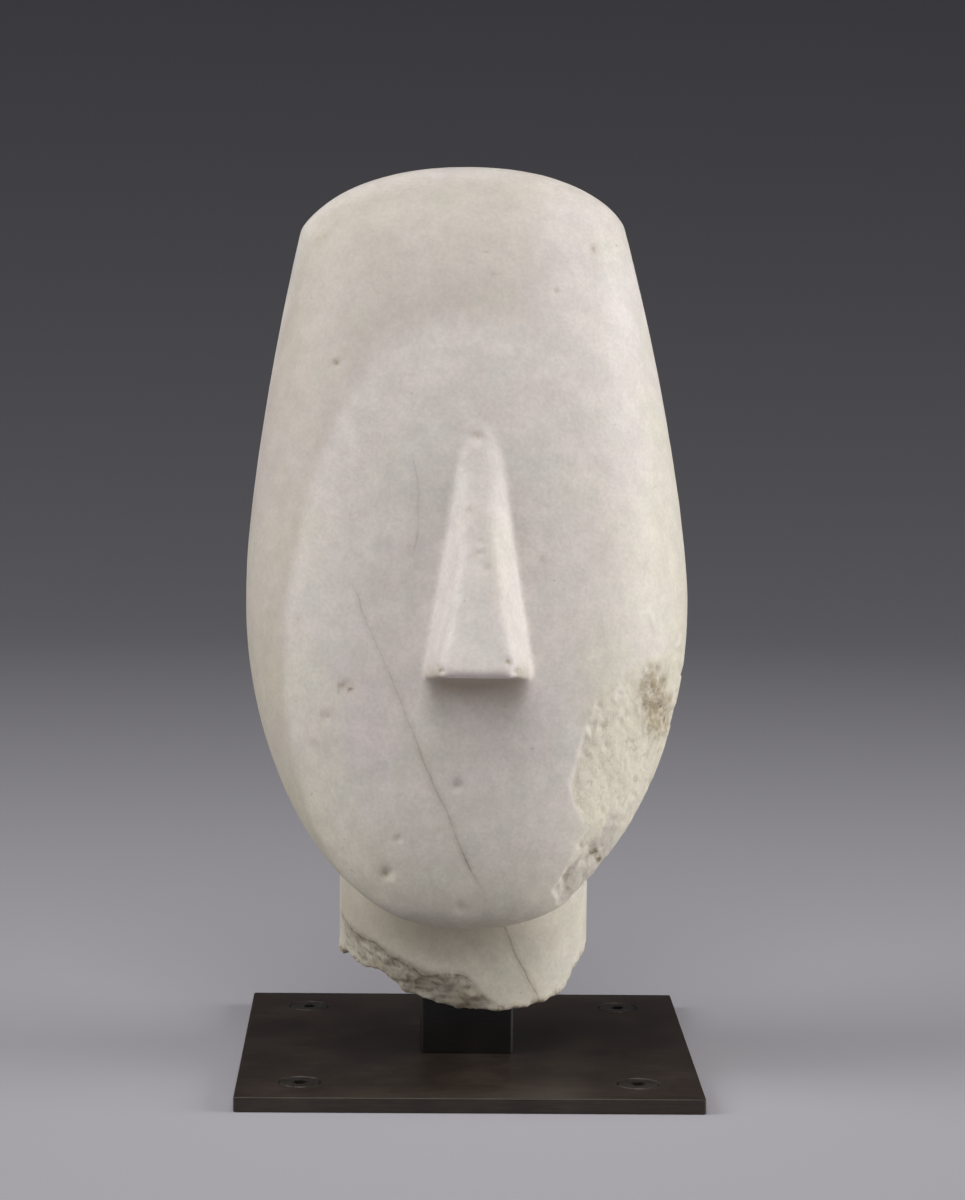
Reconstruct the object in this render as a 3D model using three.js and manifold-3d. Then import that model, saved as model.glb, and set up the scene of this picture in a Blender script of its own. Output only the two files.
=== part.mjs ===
// Head and broken neck of a large marble figure, on its display mount: a square plate, a square post and
// four flat-head screws.
//
// Millimetres, +Z up, the face looks towards -Y. The origin is the centre of the plate's underside.
import * as THREE from "three";
import { mergeVertices } from "three/addons/utils/BufferGeometryUtils.js";
import Module from "manifold-3d";

const GAP = 0.3; // clearance between pieces that fit together

const PLATE = { side: 136, thickness: 4.5, bevel: 0.4, cornerRadius: 0.8 };

const POST = { side: 28, cornerRadius: 1.2, top: 23.7, clearance: 0.05 };

// Flat-head socket screw of 6 mm thread, cut off level with the plate.
const SCREW = {
  inset: 18.5,
  headRadius: 6,
  headRim: 0.3,
  shankRadius: 3,
  sink: 0.15,
  socketAcross: 4,
  socketDepth: 2.3,
  foot: 0.3,
};

// The head is a stack of rounded sections between chin and crest. Its outline from the front has three
// parts: a rounded jaw up to the widest level, a slow taper to the corners of the crown, and the crown's arc.
const HEAD = {
  centreX: -0.7,
  lean: THREE.MathUtils.degToRad(-1.15), // sideways, about the Y axis
  leanPivotZ: 110,
  chinZ: 47.5,
  widestZ: 142,
  halfWidth: 66.6,
  jawFullness: 2.28,
  cornerZ: 253.1,
  cornerHalfWidth: 48.5,
  taperPower: 1.5,
  crestZ: 271.4,
  crownHalfSpan: 50.8,
  crownFullness: 2.12,
  crownShift: 0.45, // the crown's arc sits a little to the right of the corners
  sectionFullness: 2.25,
};

// Side profile of the head at its middle: height, front of the face, back of the skull.
const PROFILE = [
  [47.5, -36, -36],
  [52, -43.5, -25],
  [62, -47.5, -3],
  [80, -50, 22],
  [105, -50, 36],
  [140, -47.5, 42],
  [180, -42.5, 43.5],
  [220, -34, 40],
  [250, -22.5, 33],
  [265, -9.5, 24],
  [271.4, 8, 8],
];

const NOSE = {
  tip: { z: 127.6, x: 1.2, half: 15.2, y: -66.2 },
  top: { z: 195, x: 1.4, half: 5.6, y: -40.2 },
  front: { top: 6, flare: 17, power: 2.5 },
  edgeRadius: 3.6,
  waist: 0.8,
  embedded: 6,
  lip: 2,
  undercut: 0.14,
};

const NECK = { centreX: -1.3, centreY: 1, halfWidth: 37.8, halfDepth: 28.5, fullness: 2.35, top: 98 };

// The broken end of the neck: a blunt point that is lowest in front, left of a steeper right corner.
const BREAK = {
  lowest: 20,
  rises: [
    { from: -8, to: -32, rise: 9.2 }, // left
    { from: 12, to: 42, rise: 7.5 }, // right
    { from: 28, to: 34, rise: 4.5 }, // right corner
  ],
  backSlope: 0.13,
  roughness: 0.8,
  seatHalf: 15.5, // level patch that stands on the post
  seatFeather: 5,
};

// A flake lost from the neck's lower front left, below a line that falls to the right.
const FLAKE = { leftX: -39, leftZ: 46, slope: -0.5, recess: 0.75, endX: 12, feather: 10 };

// The worn and broken stretch of the cheek and jaw, on the viewer's right.
const CHEEK_LOSS = { topZ: 127, bottomZ: 54, innerTopX: 39, innerBottomX: 22, depth: 2.6, feather: 5 };

const LATHE_SIDES = 32;
const STONE_GRID = { around: 64, jawRows: 15, taperRows: 16, crownRows: 8 };

const wasm = await Module();
wasm.setup();

// ---------------------------------------------------------------- solids

// A closed three.js geometry as a manifold-3d solid.
function solidOf(geometry) {
  const plain = geometry.index ? geometry.toNonIndexed() : geometry.clone();
  plain.deleteAttribute("normal");
  plain.deleteAttribute("uv");
  const merged = mergeVertices(plain, 1e-4);
  const index = merged.index.array;
  const corners = [];
  for (let i = 0; i < index.length; i += 3) {
    const [a, b, c] = [index[i], index[i + 1], index[i + 2]];
    if (a !== b && b !== c && a !== c) corners.push(a, b, c);
  }
  return new wasm.Manifold(
    new wasm.Mesh({
      numProp: 3,
      vertProperties: merged.attributes.position.array,
      triVerts: new Uint32Array(corners),
    }),
  );
}

function geometryOf(solid) {
  const mesh = solid.getMesh();
  const geometry = new THREE.BufferGeometry();
  geometry.setAttribute("position", new THREE.BufferAttribute(mesh.vertProperties, 3));
  geometry.setIndex(new THREE.BufferAttribute(mesh.triVerts, 1));
  geometry.computeVertexNormals();
  return geometry;
}

const middleOf = (ring) =>
  ring.reduce((sum, p) => sum.add(p), new THREE.Vector3()).divideScalar(ring.length);

// Closed skin over a stack of rings with the same number of points. Rings run counter-clockwise seen from
// above and the stack goes up. Each end is closed by a fan about a tip, or about the middle of its ring.
function loft(rings, tips = [rings[0], rings[rings.length - 1]].map(middleOf)) {
  const count = rings[0].length;
  const points = [...rings.flat(), ...tips];
  const [bottomCentre, topCentre] = [points.length - 2, points.length - 1];
  const topRow = (rings.length - 1) * count;
  const index = [];
  for (let j = 0; j < count; j++) {
    const next = (j + 1) % count;
    for (let row = 0; row < topRow; row += count) {
      index.push(row + j, row + next, row + count + next);
      index.push(row + j, row + count + next, row + count + j);
    }
    index.push(bottomCentre, next, j);
    index.push(topCentre, topRow + j, topRow + next);
  }
  return new THREE.BufferGeometry().setFromPoints(points).setIndex(index);
}

// Lathe about Z from [radius, height] pairs, given from the bottom of the axis to its top.
function turned(profile, sides) {
  const outline = profile.map(([radius, height]) => new THREE.Vector2(radius, height));
  return new THREE.LatheGeometry(outline, sides).rotateX(Math.PI / 2);
}

// ---------------------------------------------------------------- shaping functions

// 0 at one place and 1 at the other, in either order, eased between them.
function ramp(from, to, value) {
  const t = THREE.MathUtils.clamp((value - from) / (to - from), 0, 1);
  return t * t * (3 - 2 * t);
}

// Smooth repeatable unevenness, between about -1 and 1.
function uneven(x, y, z) {
  return (
    0.5 * Math.sin(0.31 * x + 1.3 * Math.sin(0.23 * y + 0.19 * z)) +
    0.3 * Math.sin(0.71 * y - 0.47 * z + 1.7 * Math.sin(0.37 * x)) +
    0.2 * Math.sin(1.13 * x + 0.83 * z + 0.9)
  );
}

// Value of one PROFILE column at a height. Heights are eased so that both ends of the head come out round.
function profileAt(column, z) {
  const [low, high] = [PROFILE[0][0], PROFILE[PROFILE.length - 1][0]];
  const ease = (height) =>
    Math.acos(THREE.MathUtils.clamp(1 - (2 * (height - low)) / (high - low), -1, 1));
  const at = PROFILE.map((station) => ease(station[0]));
  const values = PROFILE.map((station) => station[column]);
  const target = ease(z);
  const last = at.length - 1;
  const slope = (i) => {
    const [a, b] = [Math.max(i - 1, 0), Math.min(i + 1, last)];
    return (values[b] - values[a]) / (at[b] - at[a]);
  };
  let i = 0;
  while (i < last - 1 && target > at[i + 1]) i++;
  const span = at[i + 1] - at[i];
  const t = (target - at[i]) / span;
  return (
    (2 * t ** 3 - 3 * t ** 2 + 1) * values[i] +
    (t ** 3 - 2 * t ** 2 + t) * span * slope(i) +
    (3 * t ** 2 - 2 * t ** 3) * values[i + 1] +
    (t ** 3 - t ** 2) * span * slope(i + 1)
  );
}

// The levels of the head, from just above the chin to just below the crest, each with its half width.
function headLevels() {
  const levels = [];
  const { jawRows, taperRows, crownRows } = STONE_GRID;
  for (let i = 1; i <= jawRows; i++) {
    const turn = (Math.PI / 2) * (1 - i / jawRows);
    levels.push({
      z: HEAD.widestZ - (HEAD.widestZ - HEAD.chinZ) * Math.sin(turn),
      halfWidth: HEAD.halfWidth * Math.cos(turn) ** (2 / HEAD.jawFullness),
    });
  }
  for (let i = 1; i <= taperRows; i++) {
    const t = i / taperRows;
    levels.push({
      z: THREE.MathUtils.lerp(HEAD.widestZ, HEAD.cornerZ, t),
      halfWidth: HEAD.halfWidth - (HEAD.halfWidth - HEAD.cornerHalfWidth) * t ** HEAD.taperPower,
    });
  }
  const cornerTurn = Math.acos((HEAD.cornerHalfWidth / HEAD.crownHalfSpan) ** (HEAD.crownFullness / 2));
  const crownRise = (HEAD.crestZ - HEAD.cornerZ) / (1 - Math.sin(cornerTurn));
  for (let i = 1; i < crownRows; i++) {
    const turn = THREE.MathUtils.lerp(cornerTurn, Math.PI / 2, i / crownRows);
    levels.push({
      z: HEAD.crestZ - crownRise * (1 - Math.sin(turn)),
      halfWidth: HEAD.crownHalfSpan * Math.cos(turn) ** (2 / HEAD.crownFullness),
    });
  }
  return levels;
}

// Point of a rounded section: 1 is a diamond, 2 an ellipse, higher is boxier.
function sectionPoint(turn, halfWidth, halfDepth, fullness) {
  const round = (value) => Math.sign(value) * Math.abs(value) ** (2 / fullness);
  return new THREE.Vector2(halfWidth * round(Math.cos(turn)), halfDepth * round(Math.sin(turn)));
}

// How far the cheek's surface is worn back at a place on the front of the head.
function cheekLoss(x, y, z) {
  const { topZ, bottomZ } = CHEEK_LOSS;
  const along = THREE.MathUtils.clamp((z - bottomZ) / (topZ - bottomZ), 0, 1);
  const inner = THREE.MathUtils.lerp(CHEEK_LOSS.innerBottomX, CHEEK_LOSS.innerTopX, along);
  const inside =
    ramp(inner - 1, inner + CHEEK_LOSS.feather, x) *
    ramp(bottomZ - 2, bottomZ + 3, z) *
    (1 - ramp(topZ - 4, topZ + 2, z)) *
    (1 - 0.85 * ramp(-34, -12, y)) *
    (1 - ramp(-8, 6, y));
  return CHEEK_LOSS.depth * inside * (1 + 0.35 * uneven(2 * x, y, 2 * z));
}

// ---------------------------------------------------------------- the stone

function headSolid() {
  const { around } = STONE_GRID;
  const rings = headLevels().map(({ z, halfWidth }) => {
    const [front, back] = [profileAt(1, z), profileAt(2, z)];
    const middle = (front + back) / 2;
    const halfDepth = (back - front) / 2;
    return Array.from({ length: around }, (_, j) => {
      const turn = (j / around) * 2 * Math.PI;
      const flat = sectionPoint(turn, halfWidth, halfDepth, HEAD.sectionFullness);
      const shift = HEAD.crownShift * ramp(250, 262, z);
      const point = new THREE.Vector3(flat.x + shift, middle + flat.y, z);
      const outward = new THREE.Vector3(flat.x / halfWidth, flat.y / halfDepth, 0).normalize();
      return point.addScaledVector(outward, -cheekLoss(point.x, point.y, point.z));
    });
  });
  const tips = [PROFILE[0], PROFILE[PROFILE.length - 1]].map(([z, y]) => new THREE.Vector3(0, y, z));
  const geometry = loft(rings, tips);
  geometry.translate(0, 0, -HEAD.leanPivotZ);
  geometry.rotateY(HEAD.lean);
  geometry.translate(HEAD.centreX, 0, HEAD.leanPivotZ);
  return solidOf(geometry);
}

// One ring of the nose. t runs from the tip to the top, and the ridge is set back by a given amount.
// The sides lean out to meet the face at the nose's half width there, and the underside slopes down to it.
function noseRing(t, setBack, z) {
  const mix = (key) => THREE.MathUtils.lerp(NOSE.tip[key], NOSE.top[key], t);
  const ridge = mix("y") + setBack;
  const shoulder = (NOSE.front.top + NOSE.front.flare * (1 - t) ** NOSE.front.power) / 2;
  const standsOut = Math.max(2, profileAt(1, z) - mix("y"));
  const foothold = mix("half") - NOSE.waist * Math.sin(Math.PI * t);
  const lean = (foothold - shoulder) / standsOut;
  const radius = NOSE.edgeRadius * (1 - 0.4 * t);
  const [foot, footX] = [standsOut + NOSE.embedded, shoulder + lean * (standsOut + NOSE.embedded)];
  const outline = new THREE.Shape();
  outline.moveTo(-footX, foot);
  outline.lineTo(-shoulder - radius * lean, radius);
  outline.quadraticCurveTo(-shoulder, 0, radius - shoulder, 0);
  outline.lineTo(shoulder - radius, 0);
  outline.quadraticCurveTo(shoulder, 0, shoulder + radius * lean, radius);
  outline.lineTo(footX, foot);
  const sink = NOSE.undercut * (1 - t) ** 6;
  return outline.getPoints(4).map((p) => new THREE.Vector3(mix("x") + p.x, ridge + p.y, z - sink * p.y));
}

// The nose is a wedge with a flat front that widens to the tip, and leaning sides with rounded edges.
function noseSolid() {
  const { lip, tip, top } = NOSE;
  const [lipRows, ridgeRows] = [3, 16];
  const rings = [];
  for (let i = 0; i < lipRows; i++) {
    const turn = (i / lipRows) * (Math.PI / 2);
    rings.push(noseRing(0, lip * (1 - Math.sin(turn)), tip.z - lip * Math.cos(turn)));
  }
  for (let i = 0; i <= ridgeRows; i++) {
    rings.push(noseRing(i / ridgeRows, 0, THREE.MathUtils.lerp(tip.z, top.z, i / ridgeRows)));
  }
  return solidOf(loft(rings));
}

function neckSolid() {
  const [around, rows, foot] = [48, 3, 8];
  const rings = Array.from({ length: rows + 1 }, (_, i) =>
    Array.from({ length: around }, (_, j) => {
      const turn = (j / around) * 2 * Math.PI;
      const flat = sectionPoint(turn, NECK.halfWidth, NECK.halfDepth, NECK.fullness);
      return new THREE.Vector3(
        NECK.centreX + flat.x,
        NECK.centreY + flat.y,
        THREE.MathUtils.lerp(foot, NECK.top, i / rows),
      );
    }),
  );
  return solidOf(loft(rings));
}

// Block between a level floor and a surface, which is given as a height over two places.
function blockTo(surface, low, high, steps, floor) {
  const size = [high[0] - low[0], high[1] - low[1]];
  const block = new THREE.BoxGeometry(size[0], size[1], 2, steps[0], steps[1], 1);
  block.translate(low[0] + size[0] / 2, low[1] + size[1] / 2, 0);
  const place = block.attributes.position;
  for (let i = 0; i < place.count; i++) {
    const top = place.getZ(i) > 0;
    place.setZ(i, top ? surface(place.getX(i), place.getY(i)) : floor);
  }
  return block;
}

// Height of the broken underside. The patch over the post is level, at the clearance above it.
function breakHeight(x, y) {
  let rough = BREAK.lowest + BREAK.roughness * uneven(2 * x, 2 * y, 0);
  rough += BREAK.backSlope * (y - NECK.centreY + NECK.halfDepth);
  for (const { from, to, rise } of BREAK.rises) rough += rise * ramp(from, to, x);
  const beyondSeat = Math.max(Math.abs(x), Math.abs(y)) - BREAK.seatHalf;
  return THREE.MathUtils.lerp(POST.top + GAP, rough, ramp(0, BREAK.seatFeather, beyondSeat));
}

// Front of the neck once the flake is off: the full neck above the flake's edge, set back below it.
function flakeFront(x, z) {
  const across = Math.min(1, Math.abs(x - NECK.centreX) / NECK.halfWidth);
  const full = NECK.centreY - NECK.halfDepth * (1 - across ** NECK.fullness) ** (1 / NECK.fullness);
  const below = Math.max(0, FLAKE.leftZ + FLAKE.slope * (x - FLAKE.leftX) - z);
  const fade = 1 - ramp(FLAKE.endX - FLAKE.feather, FLAKE.endX, x);
  const clear = 2 * (1 - Math.min(below, 1) * fade);
  return full - clear + fade * (FLAKE.recess * below + 0.5 * uneven(3 * x, 0, 3 * z));
}

function stoneSolid() {
  const under = solidOf(blockTo(breakHeight, [-44, -34], [42, 36], [28, 24], 2));
  const flakeBlock = blockTo((x, y) => flakeFront(x, -y), [-44, -50], [FLAKE.endX, -10], [20, 14], -45);
  const flake = solidOf(flakeBlock.rotateX(-Math.PI / 2));
  return headSolid().add(neckSolid().subtract(flake).subtract(under)).add(noseSolid());
}

// ---------------------------------------------------------------- the mount

// Square bar or plate about the Z axis, with its long edges bevelled or rounded.
function squareGeometry(side, cornerRadius, bottom, top, bevel) {
  const half = side / 2 - bevel;
  const corner = half - cornerRadius;
  const outline = new THREE.Shape();
  outline.moveTo(half, -corner);
  for (let i = 0; i < 4; i++) {
    const turn = (i * Math.PI) / 2;
    outline.absarc(...turnBy(corner, corner, turn), cornerRadius, turn, turn + Math.PI / 2, false);
  }
  const depth = top - bottom - 2 * bevel;
  const bevels = { bevelEnabled: bevel > 0, bevelSize: bevel, bevelThickness: bevel, bevelSegments: 1 };
  const bar = new THREE.ExtrudeGeometry(outline, { depth, curveSegments: 3, ...bevels });
  return bar.translate(0, 0, bottom + bevel);
}

const turnBy = (x, y, angle) => new THREE.Vector2(x, y).rotateAround(new THREE.Vector2(), angle).toArray();

// Outline of a flat-head screw, or of its hole when it is given some clearance.
function screwProfile(clearance, bottom, top) {
  const [head, shank] = [SCREW.headRadius + clearance, SCREW.shankRadius + clearance];
  const rimZ = PLATE.thickness - SCREW.sink - SCREW.headRim;
  return [
    [0, bottom],
    [shank, bottom],
    [shank, rimZ - (head - shank)],
    [head, rimZ],
    [head, top],
    [0, top],
  ];
}

function screwGeometry() {
  const top = PLATE.thickness - SCREW.sink;
  const body = solidOf(turned(screwProfile(0, SCREW.foot, top), LATHE_SIDES));
  const socketRadius = SCREW.socketAcross / 2 / Math.cos(Math.PI / 6);
  const socket = new THREE.CylinderGeometry(socketRadius, socketRadius, 2 * SCREW.socketDepth, 6);
  socket.rotateX(Math.PI / 2).translate(0, 0, top);
  return geometryOf(body.subtract(solidOf(socket)));
}

const screwOffset = PLATE.side / 2 - SCREW.inset;
const SCREW_PLACES = [
  ["screw_front_left", -screwOffset, -screwOffset],
  ["screw_front_right", screwOffset, -screwOffset],
  ["screw_back_left", -screwOffset, screwOffset],
  ["screw_back_right", screwOffset, screwOffset],
];

function plateGeometry() {
  let plate = solidOf(squareGeometry(PLATE.side, PLATE.cornerRadius, 0, PLATE.thickness, PLATE.bevel));
  const hole = turned(screwProfile(GAP, -1, PLATE.thickness + 1), LATHE_SIDES);
  for (const [, x, y] of SCREW_PLACES) plate = plate.subtract(solidOf(hole.clone().translate(x, y, 0)));
  return geometryOf(plate);
}

// ---------------------------------------------------------------- the object

const marble = new THREE.MeshStandardMaterial({ color: "#d3cbbf", roughness: 0.5, metalness: 0 });
const darkBronze = new THREE.MeshStandardMaterial({ color: "#3a322e", roughness: 0.5, metalness: 0.3 });
const screwSteel = new THREE.MeshStandardMaterial({ color: "#332d2a", roughness: 0.4, metalness: 0.6 });

function piece(name, geometry, material, place = [0, 0, 0]) {
  const mesh = new THREE.Mesh(geometry, material);
  mesh.name = name;
  mesh.position.set(...place);
  return mesh;
}

const figure = new THREE.Group();
figure.add(piece("marble_head", geometryOf(stoneSolid()), marble));

const mount = new THREE.Group();
mount.add(piece("base_plate", plateGeometry(), darkBronze));
const post = squareGeometry(POST.side, POST.cornerRadius, PLATE.thickness + POST.clearance, POST.top, 0);
mount.add(piece("mount_post", post, darkBronze));
for (const [name, x, y] of SCREW_PLACES) mount.add(piece(name, screwGeometry(), screwSteel, [x, y, 0]));

const displayed = new THREE.Group();
displayed.add(figure, mount);

export default displayed;
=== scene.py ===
import math

import bmesh
import bpy
import numpy as np
from mathutils import Matrix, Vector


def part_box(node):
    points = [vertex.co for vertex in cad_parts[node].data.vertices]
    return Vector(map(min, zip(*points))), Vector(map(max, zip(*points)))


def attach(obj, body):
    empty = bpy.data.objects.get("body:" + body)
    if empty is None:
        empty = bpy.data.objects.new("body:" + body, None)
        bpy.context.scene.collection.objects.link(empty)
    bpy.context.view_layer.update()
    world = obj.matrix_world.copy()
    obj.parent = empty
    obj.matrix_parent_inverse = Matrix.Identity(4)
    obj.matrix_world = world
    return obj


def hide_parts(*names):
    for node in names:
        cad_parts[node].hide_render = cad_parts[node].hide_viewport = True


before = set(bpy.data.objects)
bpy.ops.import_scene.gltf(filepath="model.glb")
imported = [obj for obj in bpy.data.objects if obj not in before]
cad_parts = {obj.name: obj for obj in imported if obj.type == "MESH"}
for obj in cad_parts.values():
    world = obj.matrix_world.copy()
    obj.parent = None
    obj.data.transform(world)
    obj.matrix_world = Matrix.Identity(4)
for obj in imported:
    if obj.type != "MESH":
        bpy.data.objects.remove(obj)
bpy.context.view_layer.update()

# Marble head and broken neck of a large standing figure, on a square post and plate with four screws.
# The face looks towards -Y. Sizes below are in millimetres, and MM turns them into Blender's metres.

MM = 0.001
SEED = 11

HEAD = dict(
    centre_x=-0.7, lean=-1.15, lean_pivot_z=110,
    chin_z=47.5, widest_z=142, half_width=66.6, jaw_fullness=2.28,
    corner_z=253.1, corner_half_width=48.5, taper_power=1.5,
    crest_z=271.4, crown_half_span=50.8, crown_fullness=2.12,
    section_fullness=2.25,
)

# Side profile of the head at its middle: height, front of the face, back of the skull.
PROFILE = np.array([
    (47.5, -36, -36), (52, -43.5, -25), (62, -47.5, -3), (80, -50, 22), (105, -50, 36),
    (140, -47.5, 42), (180, -42.5, 43.5), (220, -34, 40), (250, -22.5, 33), (265, -9.5, 24),
    (271.4, 8, 8),
])

CROWN_SHIFT = 0.45

# The nose, from its tip to where it runs out in the forehead.
# Half is half its width where it meets the face.
NOSE_TIP = dict(z=127.6, x=1.2, half=15.2, ridge=-66.2)
NOSE_TOP = dict(z=195, x=1.4, half=5.6, ridge=-40.2)
NOSE_FRONT = dict(top=6, flare=17, power=2.5)
NOSE_EDGE = 3.6
NOSE_LIP = 2.0
NOSE_WAIST = 0.8
NOSE_UNDERCUT = 0.14

NECK = dict(centre_x=-1.3, centre_y=1, half_width=37.8, half_depth=28.5, fullness=2.35, top=98)
BREAK_X = (-39, -36, -31, -26, -21, -17, -10, -3, 6, 12, 17, 20, 23, 28, 30.2, 31.4, 33.6, 36.5)
BREAK_Z = (
    29.2, 28.6, 28, 28.6, 24.6, 21.3, 19.3, 19.2, 20.1,
    20.4, 20.9, 22.1, 21.8, 23.4, 25.6, 29.2, 31, 31.2,
)
BREAK_BACK_SLOPE = 0.13
FLAKE = dict(left_x=-39, left_z=46, slope=-0.5, recess=0.75, end_x=12, feather=10)
SEAT_HALF = 15.5
SEAT_GAP = 0.3
SEAT_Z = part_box("mount_post")[1].z / MM + SEAT_GAP

STONE_VOXEL = 0.8
STONE_TRIANGLES = 190000


# ------------------------------------------------------------ small helpers


def ramp(start, end, value):
    """0 at start and 1 at end, eased between them. Either may be the greater."""
    t = np.clip((value - start) / (end - start), 0, 1)
    return t * t * (3 - 2 * t)


def mesh_object(name, points, faces):
    """New object from points in millimetres."""
    mesh = bpy.data.meshes.new(name)
    mesh.from_pydata([tuple(p) for p in np.asarray(points) * MM], [], faces)
    made = bpy.data.objects.new(name, mesh)
    bpy.context.scene.collection.objects.link(made)
    return made


def points_of(made):
    """Vertex places of an object in millimetres."""
    found = np.empty(len(made.data.vertices) * 3, np.float32)
    made.data.vertices.foreach_get("co", found)
    return found.reshape(-1, 3).astype(float) / MM


def set_points(made, points):
    made.data.vertices.foreach_set("co", (points * MM).astype(np.float32).ravel())
    made.data.update()


def normals_of(made):
    found = np.empty(len(made.data.vertices) * 3, np.float32)
    made.data.vertex_normals.foreach_get("vector", found)
    return found.reshape(-1, 3).astype(float)


def baked(made):
    """Replaces an object's mesh by what its modifiers make of it."""
    graph = bpy.context.evaluated_depsgraph_get()
    mesh = bpy.data.meshes.new_from_object(made.evaluated_get(graph))
    made.modifiers.clear()
    made.data = mesh
    return made


def with_modifier(made, kind, **settings):
    modifier = made.modifiers.new(kind.lower(), kind)
    for name, value in settings.items():
        setattr(modifier, name, value)
    return baked(made)


def joined(name, *parts):
    """One mesh object from several, which are removed."""
    shape = bmesh.new()
    for part in parts:
        shape.from_mesh(part.data)
        bpy.data.objects.remove(part)
    mesh = bpy.data.meshes.new(name)
    shape.to_mesh(mesh)
    shape.free()
    made = bpy.data.objects.new(name, mesh)
    bpy.context.scene.collection.objects.link(made)
    return made


def loft(name, rings):
    """Closed skin over a stack of rings that run counter-clockwise seen from above."""
    count = len(rings[0])
    points = np.concatenate([*rings, [np.mean(rings[0], 0)], [np.mean(rings[-1], 0)]])
    top_row = (len(rings) - 1) * count
    faces = []
    for j in range(count):
        after = (j + 1) % count
        for row in range(0, top_row, count):
            faces.append((row + j, row + after, row + count + after, row + count + j))
        faces.append((len(points) - 2, after, j))
        faces.append((len(points) - 1, top_row + j, top_row + after))
    return mesh_object(name, points, faces)


# ------------------------------------------------------------ repeatable unevenness


def lattice(cells, seed):
    """A value from -1 to 1 for each whole-number place."""
    x, y, z = (cells[:, i].astype(np.uint64) for i in range(3))
    mixed = x * np.uint64(73856093) ^ y * np.uint64(19349663) ^ z * np.uint64(83492791)
    mixed ^= np.uint64(seed * 2654435761 & 0xFFFFFFFF)
    mixed = (mixed ^ (mixed >> np.uint64(13))) * np.uint64(1274126177) & np.uint64(0xFFFFFFFF)
    mixed = (mixed ^ (mixed >> np.uint64(16))) * np.uint64(2246822519) & np.uint64(0xFFFFFFFF)
    return (mixed ^ (mixed >> np.uint64(15))).astype(float) / 0xFFFFFFFF * 2 - 1


def bumps(points, size, seed, layers=1, stretch=(1, 1, 1)):
    """Smooth random field over points, about -1 to 1, with features of a size in millimetres."""
    total = np.zeros(len(points))
    share = 1.0
    for layer in range(layers):
        place = points * np.array(stretch) / size + 1000.5
        cell = np.floor(place).astype(np.int64)
        part = place - cell
        part = part * part * (3 - 2 * part)
        value = np.zeros(len(points))
        for corner in np.ndindex(2, 2, 2):
            weight = np.prod(np.where(corner, part, 1 - part), axis=1)
            value += weight * lattice(cell + corner, SEED + seed + 31 * layer)
        total += share * value
        share *= 0.5
        size = size * 0.5
    return total


# ------------------------------------------------------------ node trees


def add_node(tree, kind, inputs=None, **settings):
    """New node; an input is given a value or another node's output socket."""
    node = tree.nodes.new(kind)
    for name, value in settings.items():
        setattr(node, name, value)
    for key, value in (inputs or {}).items():
        if isinstance(value, bpy.types.NodeSocket):
            tree.links.new(value, node.inputs[key])
        else:
            node.inputs[key].default_value = value
    return node


def maths(tree, operation, *values):
    node = add_node(tree, "ShaderNodeMath", dict(enumerate(values)), operation=operation)
    return node.outputs[0]


def new_geometry_tree(name, sockets):
    """Geometry node tree with named inputs, given as name: socket type."""
    tree = bpy.data.node_groups.new(name, "GeometryNodeTree")
    for label, kind in sockets.items():
        tree.interface.new_socket(label, in_out="INPUT", socket_type="NodeSocket" + kind)
    tree.interface.new_socket("Geometry", in_out="OUTPUT", socket_type="NodeSocketGeometry")
    return tree, tree.nodes.new("NodeGroupInput").outputs


def finish_tree(tree, geometry, material):
    plain = add_node(tree, "GeometryNodeRealizeInstances", {0: geometry})
    painted = add_node(tree, "GeometryNodeSetMaterial", {0: plain.outputs[0], "Material": material})
    output = tree.nodes.new("NodeGroupOutput")
    tree.links.new(painted.outputs[0], output.inputs[0])


def grown(name, tree, values):
    """Object made by a geometry node tree, turned into a plain mesh."""
    made = bpy.data.objects.new(name, bpy.data.meshes.new(name))
    bpy.context.scene.collection.objects.link(made)
    modifier = made.modifiers.new(tree.name, "NODES")
    modifier.node_group = tree
    for item in tree.interface.items_tree:
        if item.in_out == "INPUT" and item.name in values:
            modifier[item.identifier] = values[item.name]
    return baked(made)


# ------------------------------------------------------------ the stone's form


def ease_height(z):
    """Height as a share of a half turn, so that both ends of the head come out round."""
    low, high = PROFILE[0, 0], PROFILE[-1, 0]
    return np.arccos(np.clip(1 - 2 * (z - low) / (high - low), -1, 1))


def profile_at(column, z):
    at, values = ease_height(PROFILE[:, 0]), PROFILE[:, column]
    inner = (values[2:] - values[:-2]) / (at[2:] - at[:-2])
    ends = np.diff(values)[[0, -1]] / np.diff(at)[[0, -1]]
    slopes = np.concatenate([ends[:1], inner, ends[1:]])
    target = ease_height(z)
    i = np.clip(np.searchsorted(at, target, side="right") - 1, 0, len(at) - 2)
    span = at[i + 1] - at[i]
    t = (target - at[i]) / span
    return (
        (2 * t**3 - 3 * t**2 + 1) * values[i]
        + (t**3 - 2 * t**2 + t) * span * slopes[i]
        + (3 * t**2 - 2 * t**3) * values[i + 1]
        + (t**3 - t**2) * span * slopes[i + 1]
    )


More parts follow.
